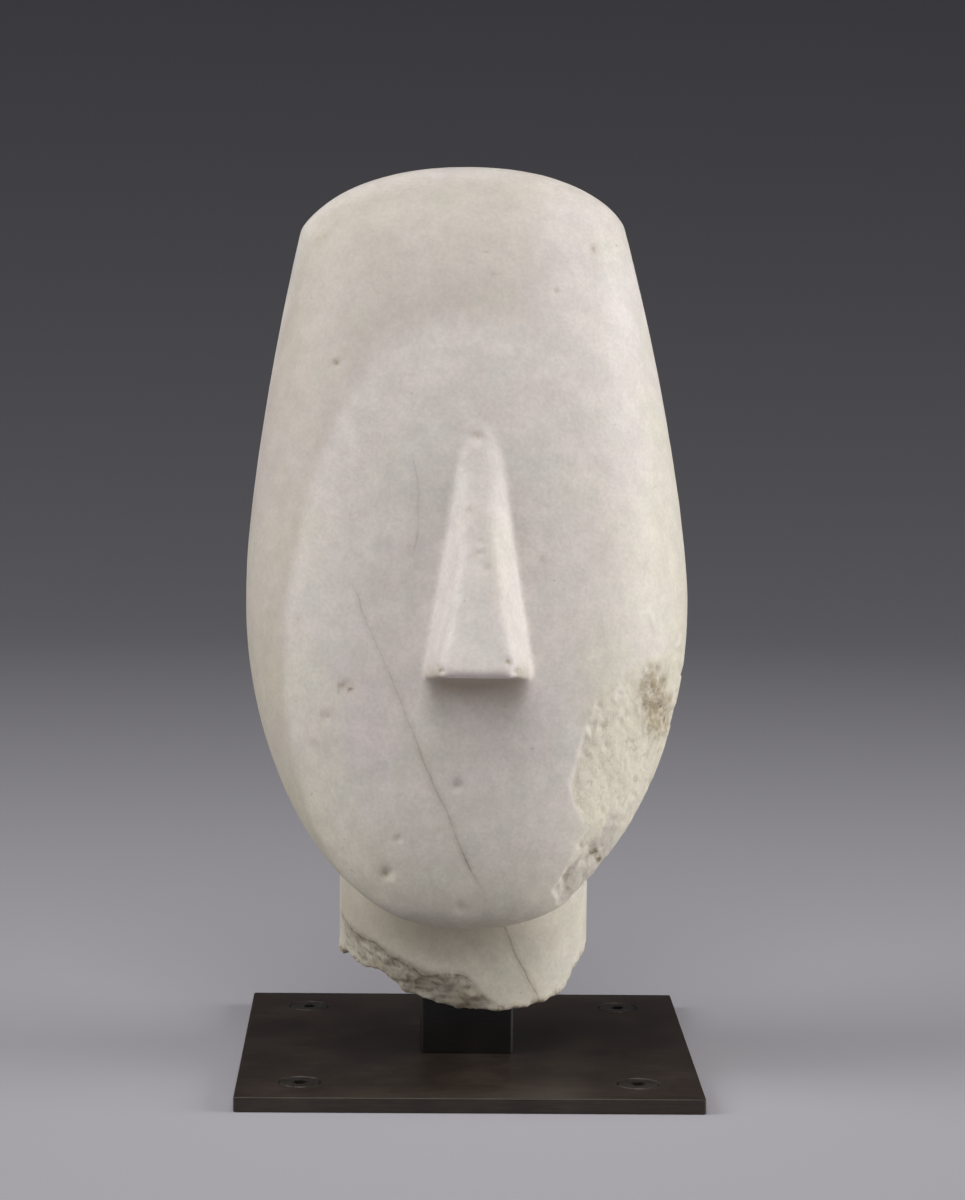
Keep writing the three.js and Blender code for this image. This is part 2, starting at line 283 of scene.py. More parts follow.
def half_width_at(z):
    """Half width of the head at a height: rounded jaw, slow taper, arched crown."""
    jaw = np.clip((HEAD["widest_z"] - z) / (HEAD["widest_z"] - HEAD["chin_z"]), 0, 1)
    jaw_width = HEAD["half_width"] * (1 - jaw**2) ** (1 / HEAD["jaw_fullness"])
    taper = np.clip((z - HEAD["widest_z"]) / (HEAD["corner_z"] - HEAD["widest_z"]), 0, 1)
    loss = HEAD["half_width"] - HEAD["corner_half_width"]
    taper_width = HEAD["half_width"] - loss * taper ** HEAD["taper_power"]
    share = (HEAD["corner_half_width"] / HEAD["crown_half_span"]) ** (HEAD["crown_fullness"] / 2)
    rise = (HEAD["crest_z"] - HEAD["corner_z"]) / (1 - math.sqrt(1 - share**2))
    crown = np.clip(1 - (HEAD["crest_z"] - z) / rise, 0, 1)
    crown_width = HEAD["crown_half_span"] * (1 - crown**2) ** (1 / HEAD["crown_fullness"])
    above_jaw = np.where(z < HEAD["corner_z"], taper_width, crown_width)
    return np.where(z < HEAD["widest_z"], jaw_width, above_jaw)


def set_curve(node, heights, values, sharp=None):
    """Gives a Float Curve node points over the head's height, one of which may be a corner."""
    curve = node.mapping.curves[0]
    places = [(float(ease_height(z)) / math.pi, float(v)) for z, v in zip(heights, values)]
    while len(curve.points) < len(places):
        curve.points.new(0.5, 0.5)
    for point, place, z in zip(curve.points, places, heights):
        point.location = place
        point.handle_type = "VECTOR" if z == sharp else "AUTO"
    node.mapping.update()


def section_share(tree, wave, fullness):
    """A sine or cosine filled out towards a square: its sign times its size to 2 / fullness."""
    power = maths(tree, "DIVIDE", 2.0, fullness)
    size = maths(tree, "POWER", maths(tree, "ABSOLUTE", wave), power)
    return maths(tree, "MULTIPLY", maths(tree, "SIGN", wave), size)


def head_tree():
    """Rounded sections stacked from chin to crest. Float curves hold the outline and the side profile."""
    kinds = {
        "Half Width": "Float", "Chin Height": "Float", "Crest Height": "Float", "Depth Range": "Float",
        "Fullness": "Float", "Around": "Int", "Levels": "Int", "Lean": "Float", "Lean Height": "Float",
        "Centre X": "Float", "Material": "Material",
    }
    tree, given = new_geometry_tree("head_of_rounded_sections", kinds)
    grid = add_node(tree, "GeometryNodeMeshGrid", {0: 1.0, 1: 1.0, 2: given["Around"], 3: given["Levels"]})
    position = tree.nodes.new("GeometryNodeInputPosition").outputs[0]
    place = add_node(tree, "ShaderNodeSeparateXYZ", {0: position})
    turn = maths(tree, "MULTIPLY", maths(tree, "ADD", place.outputs[0], 0.5), math.tau)
    level = maths(tree, "ADD", place.outputs[1], 0.5)
    rise = maths(tree, "MULTIPLY", level, math.pi)
    rise = maths(tree, "MULTIPLY", maths(tree, "SUBTRACT", 1.0, maths(tree, "COSINE", rise)), 0.5)
    tall = maths(tree, "SUBTRACT", given["Crest Height"], given["Chin Height"])
    height = maths(tree, "MULTIPLY_ADD", rise, tall, given["Chin Height"])

    heights = np.unique(np.concatenate([
        HEAD["chin_z"] + (HEAD["crest_z"] - HEAD["chin_z"]) * (1 - np.cos(np.linspace(0, math.pi, 64))) / 2,
        [HEAD["corner_z"]],
    ]))
    outlines = {
        "width": half_width_at(heights) / HEAD["half_width"],
        "front": profile_at(1, heights) / 100 + 0.5,
        "back": profile_at(2, heights) / 100 + 0.5,
    }
    shares = {}
    for key, values in outlines.items():
        node = add_node(tree, "ShaderNodeFloatCurve", {"Value": level}, label=key)
        set_curve(node, heights, values, HEAD["corner_z"] if key == "width" else None)
        shares[key] = node.outputs[0]
    depth = {
        key: maths(tree, "MULTIPLY", maths(tree, "SUBTRACT", shares[key], 0.5), given["Depth Range"])
        for key in ("front", "back")
    }
    width = maths(tree, "MULTIPLY", shares["width"], given["Half Width"])
    middle = maths(tree, "MULTIPLY", maths(tree, "ADD", depth["front"], depth["back"]), 0.5)
    half_depth = maths(tree, "MULTIPLY", maths(tree, "SUBTRACT", depth["back"], depth["front"]), 0.5)
    across = section_share(tree, maths(tree, "COSINE", turn), given["Fullness"])
    along = section_share(tree, maths(tree, "SINE", turn), given["Fullness"])
    x = maths(tree, "MULTIPLY", across, width)
    y = maths(tree, "MULTIPLY_ADD", along, half_depth, middle)
    z = maths(tree, "SUBTRACT", height, given["Lean Height"])
    where = add_node(tree, "ShaderNodeCombineXYZ", {0: x, 1: y, 2: z})
    shaped = add_node(tree, "GeometryNodeSetPosition", {0: grid.outputs[0], "Position": where.outputs[0]})
    closed = add_node(tree, "GeometryNodeMergeByDistance", {0: shaped.outputs[0], "Distance": 1e-6})
    shift = add_node(tree, "ShaderNodeCombineXYZ", {0: given["Centre X"], 2: given["Lean Height"]})
    lean = add_node(tree, "ShaderNodeCombineXYZ", {1: given["Lean"]})
    leant = add_node(
        tree, "GeometryNodeTransform",
        {0: closed.outputs[0], "Translation": shift.outputs[0], "Rotation": lean.outputs[0]},
    )
    finish_tree(tree, leant.outputs[0], given["Material"])
    return tree


def head_blank():
    values = {
        "Half Width": HEAD["half_width"] * MM, "Chin Height": HEAD["chin_z"] * MM,
        "Crest Height": HEAD["crest_z"] * MM, "Depth Range": 100 * MM, "Fullness": HEAD["section_fullness"],
        "Around": 257, "Levels": 260, "Lean": math.radians(HEAD["lean"]),
        "Lean Height": HEAD["lean_pivot_z"] * MM, "Centre X": HEAD["centre_x"] * MM,
    }
    head = grown("head_blank", head_tree(), values)
    points = points_of(head)
    points[:, 0] += CROWN_SHIFT * ramp(250, 262, points[:, 2])
    set_points(head, points)
    return head


def nose_ring(t, set_back, z):
    """Level section of the nose: a flat front, small rounded edges, and sides that lean out to the face."""
    size = {key: NOSE_TIP[key] + (NOSE_TOP[key] - NOSE_TIP[key]) * t for key in NOSE_TIP}
    size["half"] -= NOSE_WAIST * math.sin(math.pi * t)
    front = size["ridge"] + set_back
    half = NOSE_FRONT["top"] / 2 + NOSE_FRONT["flare"] / 2 * (1 - t) ** NOSE_FRONT["power"]
    stands_out = max(2.0, float(profile_at(1, z)) - size["ridge"])
    lean = (size["half"] - half) / stands_out
    radius = NOSE_EDGE * (1 - 0.4 * t)
    root = stands_out + 6
    bend = np.linspace(0, 1, 7)[:, None]
    start, corner, end = (np.array(place) for place in (
        (half - radius, front), (half, front), (half + radius * lean, front + radius)))
    right = (1 - bend) ** 2 * start + 2 * bend * (1 - bend) * corner + bend**2 * end
    right = np.concatenate([right, [(half + lean * root, front + root)]])
    outline = np.concatenate([right[::-1] * (-1, 1), right])
    sink = NOSE_UNDERCUT * (outline[:, 1] - front) * (1 - t) ** 6
    return np.column_stack([outline[:, 0] + size["x"], outline[:, 1], z - sink])


def nose_blank():
    rings = []
    for turn in np.linspace(0, math.pi / 2, 6, endpoint=False):
        lowered = NOSE_TIP["z"] - NOSE_LIP * math.cos(turn)
        rings.append(nose_ring(0, NOSE_LIP * (1 - math.sin(turn)), lowered))
    for t in np.linspace(0, 1, 70):
        rings.append(nose_ring(t, 0, NOSE_TIP["z"] + (NOSE_TOP["z"] - NOSE_TIP["z"]) * t))
    return loft("nose_blank", rings)


def break_height(x, y):
    """Height of the broken underside of the neck, with its seat on the post."""
    height = np.interp(x, BREAK_X, BREAK_Z)
    height = height + BREAK_BACK_SLOPE * (y - NECK["centre_y"] + NECK["half_depth"])
    flat = np.column_stack([x, y, np.zeros(len(x))])
    height = height + 2.0 * ramp(-14, 6, y) * bumps(flat, 10, 81, 3)
    beyond_seat = np.maximum(np.abs(x), np.abs(y)) - SEAT_HALF
    return height, ramp(0, 5, beyond_seat)


def neck_front(x):
    across = np.clip(np.abs(x - NECK["centre_x"]) / NECK["half_width"], 0, 1)
    depth = (1 - across ** NECK["fullness"]) ** (1 / NECK["fullness"])
    return NECK["centre_y"] - NECK["half_depth"] * depth


def neck_blank():
    turn = np.linspace(0, math.tau, 240, endpoint=False)
    bulge = 2 / NECK["fullness"]
    flat_x = NECK["half_width"] * np.sign(np.cos(turn)) * np.abs(np.cos(turn)) ** bulge
    flat_y = NECK["half_depth"] * np.sign(np.sin(turn)) * np.abs(np.sin(turn)) ** bulge
    rings = []
    for share in np.linspace(0.02, 1, 40, endpoint=False):
        rings.append(neck_ring(flat_x * share, flat_y * share, 0))
    for rise in np.linspace(0, 1, 90):
        rings.append(neck_ring(flat_x, flat_y, rise))
    return loft("neck_blank", rings)


def neck_ring(flat_x, flat_y, rise):
    """Ring of the neck, from the broken end at rise 0 to inside the head at 1, with the front flake off."""
    x, y = NECK["centre_x"] + flat_x, NECK["centre_y"] + flat_y
    rough, free = break_height(x, y)
    foot = SEAT_Z + (rough - SEAT_Z) * free
    z = foot + (NECK["top"] - foot) * rise**1.5
    edge = FLAKE["left_z"] + FLAKE["slope"] * (x - FLAKE["left_x"])
    below = np.maximum(0, edge - z)
    fade = 1 - ramp(FLAKE["end_x"] - FLAKE["feather"], FLAKE["end_x"], x)
    front = neck_front(x) + fade * FLAKE["recess"] * below
    return np.column_stack([x, np.where(y < 0, np.maximum(y, front), y), z])


def stone_blank():
    """Head, nose and neck grown into one closed skin."""
    stone = joined("stone", head_blank(), nose_blank(), neck_blank())
    return with_modifier(stone, "REMESH", mode="VOXEL", voxel_size=STONE_VOXEL * MM)


# ------------------------------------------------------------ the stone's surface


def edges_of(made):
    found = np.empty(len(made.data.edges) * 2, np.int32)
    made.data.edges.foreach_get("vertices", found)
    return found.reshape(-1, 2)


def relaxed(points, edges, rounds, weight):
    """Points moved towards their neighbours' average, by a weight for each."""
    count = len(points)
    ends = np.concatenate([edges[:, 0], edges[:, 1]])
    others = np.concatenate([edges[:, 1], edges[:, 0]])
    degree = np.maximum(np.bincount(ends, minlength=count), 1)
    weight = np.broadcast_to(weight, count)
    for _ in range(rounds):
        for axis in range(3):
            mean = np.bincount(ends, points[others, axis], minlength=count) / degree
            points[:, axis] += weight * (mean - points[:, axis])
    return points


# Small pits on the front, as x, z, radius and depth.
PITS = (
    (-4.5, 92.3, 1.7, 0.8), (-21.4, 76.1, 1.0, 0.5), (-24.5, 65.3, 1.8, 0.8), (-3.1, 55.7, 1.8, 0.5),
    (23.4, 235, 0.8, 0.5), (-1.9, 242.5, 0.8, 0.3), (4.8, 239.4, 0.7, 0.3), (33.6, 247.3, 1.5, 0.5),
    (0.7, 192.8, 1.8, 0.9), (19, 157.3, 1.0, 0.3), (20.6, 172.6, 0.9, 0.2), (1.5, 160.3, 0.9, 0.4),
    (-1.7, 172.2, 0.9, 0.4), (1.5, 163.3, 0.8, 0.3), (3.3, 156.2, 1.0, 0.4), (-4.1, 149.2, 0.8, 0.3),
    (-9.6, 127.6, 1.5, 1.1), (9.6, 130.5, 1.0, 0.6), (12.2, 127.6, 1.6, 1.2),
    (-37.2, 119.9, 1.8, 0.4), (-43, 110.7, 1.4, 0.4), (-40.5, 213.3, 1.0, 0.4), (-22.7, 87.9, 0.9, 0.2),
    (37.8, 108.7, 1.2, 0.6), (39.4, 102.9, 1.0, 0.5), (38.6, 83.5, 1.1, 0.5), (27.6, 63.4, 1.3, 0.7),
    (56.5, 112.1, 2.0, 1.2), (57.5, 108.5, 1.5, 1.0), (36.5, 71.5, 1.6, 1.1), (35.2, 68.2, 1.4, 1.0),
    (38.2, 68.6, 1.2, 0.9), (44.3, 252.1, 2.0, 0.8), (-32.1, 266.3, 2.2, 0.9),
)

# Brown and grey stains on the front, as x, z, half sizes, turn in degrees and strength.
STAINS = (
    (-37.2, 119.9, 3.4, 3.4, 0, 0.8), (-37.0, 119.0, 3.0, 0.5, 12, 0.7), (-43, 110.7, 1.8, 4.6, -38, 0.7),
    (-46.2, 103.3, 1.8, 1.8, 0, 0.5), (-39, 105, 5.0, 2.5, 20, 0.25), (-52, 80, 4.0, 3.0, 20, 0.25),
    (-60.4, 139.6, 1.2, 1.4, 0, 0.5), (-57.3, 138.9, 1.1, 1.1, 0, 0.5), (-50.6, 139, 1.2, 1.0, 0, 0.4),
    (-39.2, 176.5, 1.1, 1.3, 0, 0.6), (-40.8, 168.7, 1.0, 1.0, 0, 0.5), (-55.3, 181.6, 1.0, 1.2, 0, 0.5),
    (-49, 186.7, 1.0, 1.0, 0, 0.4), (-40.5, 213.3, 1.1, 1.1, 0, 1.0), (-38.4, 216.3, 0.9, 2.2, -30, 0.7),
    (-45.6, 249.6, 1.0, 3.6, -52, 0.6), (-40.5, 254.6, 1.0, 2.4, -52, 0.4), (0.7, 192.8, 2.2, 2.4, 0, 0.9),
    (-19, 160.2, 2.0, 1.8, 0, 0.6), (-24.5, 65.3, 2.2, 2.0, 0, 0.9), (-3.1, 55.7, 1.8, 1.6, 0, 0.4),
    (-4.5, 92.3, 1.8, 1.3, 0, 0.8), (-21.4, 76.1, 1.1, 1.1, 0, 0.6), (23.4, 235, 0.9, 0.9, 0, 1.0),
    (-1.9, 242.5, 1.1, 0.9, 0, 0.5), (4.8, 239.4, 0.8, 1.2, 0, 0.6), (34.6, 247.3, 0.8, 1.8, 0, 0.8),
    (0.1, 160.5, 1.2, 1.2, 0, 0.5), (3.3, 156.2, 1.1, 1.0, 0, 0.5), (-1.7, 172.2, 1.0, 1.2, 0, 0.4),
    (-9.4, 127.6, 2.0, 1.4, -20, 1.1), (12.2, 127.8, 1.8, 1.3, 20, 1.2), (9.6, 130.5, 1.2, 1.0, 0, 0.9),
    (-52.6, 238.9, 0.9, 0.9, 0, 0.8),
    (37.8, 108.7, 1.2, 1.0, 0, 0.8), (39.4, 102.9, 0.9, 0.9, 0, 0.8), (38.6, 83.5, 1.0, 1.0, 0, 0.7),
    (56.5, 112.1, 1.8, 2.2, 0, 1.6), (57.5, 108.0, 1.5, 1.6, 0, 1.2), (36.5, 70.6, 2.2, 2.0, 0, 1.6),
    (58.3, 104.5, 1.2, 3.0, 8, 1.0), (38.0, 68.2, 1.6, 1.6, 0, 1.4), (27.6, 63.4, 1.0, 2.0, -20, 0.7),
    (-22, 35, 4.0, 1.2, 30, 0.9),
    (-14, 31, 2.6, 1.0, 20, 0.9), (0, 25.5, 6.0, 2.4, 10, 0.8), (19, 27, 1.6, 1.2, 0, 0.4),
    (-20.5, 88.6, 2.2, 0.4, 0, 0.5), (-16, 88.9, 2.0, 0.4, 0, 0.5), (-33, 40, 2.4, 1.0, 40, 0.7),
)


def spots(points, table):
    """Sum of soft spots on the front, each round or oval, with uneven edges."""
    points = points + 0.7 * np.column_stack([bumps(points, 2.5, seed, 2) for seed in (71, 72, 73)])
    x, _, z = points.T
    total = np.zeros(len(points))
    for px, pz, half_x, half_z, turn, amount in table:
        c, s = math.cos(math.radians(turn)), math.sin(math.radians(turn))
        u = ((x - px) * c + (z - pz) * s) / half_x
        v = ((z - pz) * c - (x - px) * s) / half_z
        total += amount * np.exp(-1.6 * (u**2 + v**2))
    return total


# Pale flaky crust left on the cheek above the loss, in the same form.
RESIDUE = (
    (56.5, 146, 1.6, 5.0, -10, 1.0), (53, 138.5, 1.4, 4.0, 25, 1.0), (59, 153, 1.2, 4.0, 0, 0.8),
    (60.5, 136, 1.4, 3.0, 0, 0.8), (55.5, 132, 1.0, 2.0, 30, 0.7), (57, 163, 1.0, 3.0, 10, 0.6),
)


def front_of(points):
    return ramp(0, -10, points[:, 1])


# Inner edge of the cheek that has flaked away, from its foot upwards.
LOSS_EDGE_Z = (57, 61, 69, 75, 79, 86, 92, 109, 118, 124)
LOSS_EDGE_X = (26, 23.5, 27, 30, 33, 28.5, 28, 31.5, 33.5, 36)
STREAKS = np.array([(0.59, 0, -0.81), (0, 1, 0), (0.81, 0, 0.59)]).T


def loss_distance(points):
    """Distance in millimetres inside the flaked cheek on the viewer's right. It is below 0 outside."""
    x, y, z = points.T
    wobble = 1.3 * bumps(points, 9, 5, 3)
    inner = np.interp(z, LOSS_EDGE_Z, LOSS_EDGE_X)
    top = np.interp(x, (33, 42, 50, 58, 64), (121, 124, 128, 131, 150))
    sides = np.minimum(x - inner, top - z)
    behind = 5 - y - 0.012 * (z - 92) ** 2 + 3.5 * bumps(points, 13, 48, 2)
    return np.minimum(np.minimum(sides, z - 56), behind) + wobble


def crust_amount(points):
    x, _, z = points.T
    across = (x - 54.3 + 0.2 * (z - 114)) / 5.4
    away = np.hypot(across, (z - 114.4) / 12.5) + 0.22 * bumps(points, 4, 41, 2)
    return ramp(1.3, 0.5, away) * front_of(points)


def lower_facet(points):
    """Steeper flake at the foot of the loss."""
    x, _, z = points.T
    rim = 59.5 + (x - 23) * 1.25 + 1.2 * bumps(points, 5, 43, 2)
    return ramp(0, 1.6, rim - z) * ramp(0, 2, loss_distance(points) + 1.5) * ramp(47, 40, x)


def weather(points, normals):
    """Moves the surface to its worn and broken state."""
    x, y, z = points.T
    front = front_of(points)
    inside = loss_distance(points)
    limb = 1 - 0.8 * ramp(-30, -8, y)
    loss = ramp(0, 2.6, inside)
    streaks = bumps(points @ STREAKS, 2.8, 7, 3, (0.35, 1, 1))
    cut = 0.4 * loss * ramp(120, 100, z) + 1.3 * ramp(1, 18, inside) + 0.8 * lower_facet(points)
    rough = 0.22 * bumps(points, 11, 6, 2) + 0.2 * streaks + 0.12 * bumps(points, 2.4, 8, 2)
    rough += 0.35 * ramp(0.45, 0.8, bumps(points, 3, 9, 2))
    crust = crust_amount(points)
    under, flake = break_masks(points)
    relief = 0.3 * np.maximum(under, flake) * bumps(points, 2.0, 26, 2)
    relief += 0.15 * bumps(points, 30, 1, 2) + 0.035 * bumps(points, 6, 2, 2)
    relief -= limb * (cut + loss * rough)
    relief += crust * limb * (0.35 + 0.5 * bumps(points @ STREAKS, 2.0, 44, 2, (0.3, 1, 1)))
    chips = ramp(0.1, 0.5, bumps(points, 7, 47, 2)) * ramp(0, 2, inside) * ramp(-26, -16, y)
    relief -= 0.9 * chips
    relief += 0.3 * front * limb * np.clip(spots(points, RESIDUE), 0, 1)
    for px, pz, radius, deep in PITS:
        relief -= front * deep * np.exp(-((x - px) ** 2 + (z - pz) ** 2) / radius**2)
    return points + normals * relief[:, None]


def flake_distance(points):
    """Distance in millimetres below the upper edge of the flake on the neck."""
    x, _, z = points.T
    edge = np.interp(x, (-39, -31, -25, -14, -9, -1, 3, 9), (45.5, 40.5, 37.5, 31, 31, 31, 27, 22))
    return edge - z + 1.1 * bumps(points, 5, 12, 3)


def break_masks(points):
    """The broken end of the neck, and the flake above it at the front."""
    x, y, z = points.T
    rough, _ = break_height(x, y)
    under = ramp(3.0, 0.6, z - rough + 0.6 * bumps(points, 4, 15, 2))
    flake = ramp(-0.3, 1.0, flake_distance(points)) * ramp(11, 6, x) * ramp(8, -14, y) * ramp(52, 48, z)
    return under, flake


def roughen_break(points, normals):
    under, flake = break_masks(points)
    relief = 0.55 * bumps(points, 6, 21, 2) + 0.2 * bumps(points, 3, 22)
    facets = -0.5 + 0.45 * bumps(points, 6, 23, 2) + 0.2 * bumps(points, 3, 24)
    return points + normals * (under * relief + (1 - under) * flake * facets)[:, None]


VEIN_TOP = (-33.5, 145.6)
VEIN_SLOPE = 2.357


def vein_distance(points):
    """Distance in millimetres from the long sloping vein, which goes on as the crack in the neck."""
    x, _, z = points.T
    bend = np.interp(z, (25, 40, 55, 70), (2.6, 1.4, 1.4, 0))
    straight = x - VEIN_TOP[0] - (VEIN_TOP[1] - z) / VEIN_SLOPE
    return straight - bend + 0.5 * bumps(points, 8, 51, 2) + 0.22 * bumps(points, 2.4, 55, 2)


def vein_strength(points):
    z = points[:, 2]
    on_face = ramp(155, 143, z) * ramp(58, 66, z)
    middle = ramp(64, 70, z) * ramp(112, 100, z)
    on_neck = ramp(50, 46, z)
    front = front_of(points)
    uneven = 0.75 + 0.5 * bumps(points, 9, 52, 2)
    return front * (on_face * (0.5 + 0.5 * middle) * uneven + 0.95 * on_neck)


def second_vein_distance(points):
    x, _, z = points.T
    return x + 16.2 + 0.011 * (z - 172.5) ** 2 + 0.5 * bumps(points, 5, 53, 2)


def second_vein_strength(points):
    z = points[:, 2]
    return front_of(points) * ramp(190, 184, z) * ramp(157, 163, z) * (0.7 + 0.4 * bumps(points, 5, 54))


def painted_shade_and_dirt(points):
    """Painted shade under the nose and in the fold below the chin; on the left of the neck, a painted
    shadow of the head mixed with some dirt.
    """
    x, y, z = points.T
    under_nose = ramp(17, 10, np.abs(x - 1.2)) * ramp(-64.5, -63, y)
    under_nose = under_nose * ramp(112, 123, z) * ramp(129, 126.5, z)
    fold = ramp(-34, -30, y) * ramp(36, 44, z) * ramp(30, 4, x)
    neck_side = 0.12 * ramp(-4, -26, x) * ramp(54, 48, z) * ramp(20, 8, y)
    return np.clip(under_nose + 0.45 * fold + neck_side, 0, 1) * front_of(points)


def warmth(points):
    """How yellow the surface has gone: most on the flanks, the jaw and the flaked cheek."""
    x, _, z = points.T
    flank = ramp(22, 55, np.abs(x + 4)) * ramp(190, 120, z)
    low = ramp(115, 55, z) * ramp(48, 8, x)
    neck = ramp(54, 48, z) * front_of(points)
    loss = ramp(0, 3, loss_distance(points))
    edge = ramp(40, 56, x) * ramp(120, 170, z) * 0.8
    patch = 0.35 * bumps(points, 22, 61, 3)
    return np.clip(0.75 * flank + 0.85 * low + 0.45 * neck + 0.65 * loss + 0.6 * edge + patch, 0, 1)


def write_attribute(made, name, values):
    layer = made.data.attributes.new(name, "FLOAT", "POINT")
    layer.data.foreach_set("value", np.asarray(values, np.float32))


def write_attributes(stone):
    points = points_of(stone)
    under, flake = break_masks(points)
    front = front_of(points)
    inside = loss_distance(points)
    soft = ramp(98, 122, points[:, 2])
    loss = ramp(-0.3, 2.5, inside) * (1 - soft) + ramp(-2, 13, inside) * soft
    write_attribute(stone, "loss", loss * front)
    write_attribute(stone, "crust", crust_amount(points))
    write_attribute(stone, "facet", lower_facet(points) * front)
    write_attribute(stone, "stain", spots(points, STAINS) * front)
    write_attribute(stone, "residue", np.clip(spots(points, RESIDUE), 0, 1) * front)
    write_attribute(stone, "broken", np.maximum(under, 0.75 * flake))
    write_attribute(stone, "flake_edge", flake_distance(points))
    write_attribute(stone, "flake_rim", front * ramp(4, -1, points[:, 0]) * ramp(52, 48, points[:, 2]))
    write_attribute(stone, "vein", vein_distance(points))
    write_attribute(stone, "vein_strength", vein_strength(points))
    write_attribute(stone, "second_vein", second_vein_distance(points))
    write_attribute(stone, "second_vein_strength", second_vein_strength(points))
    write_attribute(stone, "painted_shade_and_dirt", painted_shade_and_dirt(points))
    write_attribute(stone, "warmth", warmth(points))


def hollow_amount(made, points, edges):
    """0 on flat and rounded places, up to 1 in inside corners such as the foot of the nose."""
    near = relaxed(points.copy(), edges, 2, 0.5) - points
    hollow = ramp(0.05, 0.25, np.sum(near * normals_of(made), axis=1))
    spread = relaxed(hollow[:, None].repeat(3, 1), edges, 8, 0.5)[:, 0]
    return np.clip(3 * spread, 0, 1)


def fillet(made, edges):
    """Evens out the skin and rounds its inside corners."""
    points = relaxed(points_of(made), edges, 3, 0.3)
    set_points(made, points)
    hollow = hollow_amount(made, points, edges)
    set_points(made, relaxed(points, edges, 22, 0.5 * hollow))


def stone_piece():
    stone = stone_blank()
    edges = edges_of(stone)
    fillet(stone, edges)
    points = points_of(stone)
    points = roughen_break(points, normals_of(stone))
    under, flake = break_masks(points)
    set_points(stone, relaxed(points, edges, 3, 0.5 * np.maximum(under, flake)))
    points = points_of(stone)
    set_points(stone, weather(points, normals_of(stone)))
    thin_out(stone)
    write_attributes(stone)
    stone.name = "marble_stone"
    smooth_shaded(stone)
    return stone


def smooth_shaded(made, crease=None):
    made.data.polygons.foreach_set("use_smooth", [True] * len(made.data.polygons))
    if crease is not None:
        made.data.set_sharp_from_angle(angle=math.radians(crease))


def thin_out(stone):
    """Brings the stone under its number of triangles, from the plain back first."""
    points = points_of(stone)
    group = stone.vertex_groups.new(name="plain")
    back = ramp(-5, 15, points[:, 1])
    for level in range(11):
        chosen = np.flatnonzero(np.round(back * 10) == level)
        group.add(chosen.tolist(), level / 10, "REPLACE")
    triangles = sum(len(p.vertices) - 2 for p in stone.data.polygons)
    with_modifier(
        stone, "DECIMATE", ratio=min(1, STONE_TRIANGLES / triangles),
        vertex_group="plain", vertex_group_factor=2.0,
    )
    stone.vertex_groups.clear()


# ------------------------------------------------------------ the mount

PLATE = dict(side=136, thickness=4.5, bevel=0.4, corner_radius=0.8)
POST = dict(side=28, corner_radius=1.2, bottom=4.55, top=23.7)
SCREW = dict(
    inset=18.5, head_radius=6, head_rim=0.3, shank_radius=3, sink=0.15,
    socket_across=4, socket_depth=2.3,
)
SCREW_FOOT = 0.3
HOLE_GAP = 0.3
HOLE_CHAMFER = 0.35


def rounded_square(half, radius, z):
    """Ring of a square with rounded corners, counter-clockwise."""
    ring = []
    middle = half - radius
    for quarter in range(4):
        side_x = math.copysign(1, math.cos(quarter * math.pi / 2 + 0.7))
        side_y = math.copysign(1, math.sin(quarter * math.pi / 2 + 0.7))
        for step in np.linspace(0, math.pi / 2, 7):
            turn = quarter * math.pi / 2 + step
            ring.append((
                middle * side_x + radius * math.cos(turn),
                middle * side_y + radius * math.sin(turn),
                z,
            ))
    return np.array(ring)


def square_bar(name, side, radius, bottom, top, bevel):
    """Square bar or plate about the Z axis with rounded long corners and rounded rims."""
    rings = []
    for turn in np.linspace(0, math.pi / 2, 5):
        inset = bevel * (1 - math.sin(turn))
        rings.append(rounded_square(side / 2 - inset, radius, bottom + bevel * (1 - math.cos(turn))))
    for turn in np.linspace(math.pi / 2, 0, 5):
        inset = bevel * (1 - math.sin(turn))
        rings.append(rounded_square(side / 2 - inset, radius, top - bevel * (1 - math.cos(turn))))
    return loft(name, rings)


def turned(name, profile, sides=72):
    """Solid of revolution from radius and height pairs, bottom first, closed at both ends."""
    turn = np.linspace(0, math.tau, sides, endpoint=False)
    rings = [
        np.column_stack([radius * np.cos(turn), radius * np.sin(turn), np.full(sides, height)])
        for radius, height in profile
    ]
    return loft(name, rings)


def screw_profile(clearance, bottom, top):
    head, shank = SCREW["head_radius"] + clearance, SCREW["shank_radius"] + clearance
    rim = PLATE["thickness"] - SCREW["sink"] - SCREW["head_rim"]
    return [(shank, bottom), (shank, rim - (head - shank)), (head, rim), (head, top)]


def cut_away(made, cutter):
    modifier = made.modifiers.new("cut", "BOOLEAN")
    modifier.operation = "DIFFERENCE"
    modifier.solver = "EXACT"
    modifier.object = cutter
    baked(made)
    bpy.data.objects.remove(cutter)
    return made


def moved(made, x, y, z=0):
    made.data.transform(Matrix.Translation((x * MM, y * MM, z * MM)))
    return made


def plate_piece():
    plate = square_bar(
        "plate", PLATE["side"], PLATE["corner_radius"], 0, PLATE["thickness"], PLATE["bevel"],
    )
    away = PLATE["side"] / 2 - SCREW["inset"]
    for x in (-away, away):
        for y in (-away, away):
            profile = screw_profile(HOLE_GAP, -1, PLATE["thickness"] - HOLE_CHAMFER)
            rim = profile[-1][0] + HOLE_CHAMFER
            profile += [(rim, PLATE["thickness"]), (rim, PLATE["thickness"] + 1)]
            cut_away(plate, moved(turned("hole", profile), x, y))
    smooth_shaded(plate, 30)
    return plate


def post_piece():
    post = square_bar("post", POST["side"], POST["corner_radius"], POST["bottom"], POST["top"], 0.15)
    smooth_shaded(post, 40)
    return post


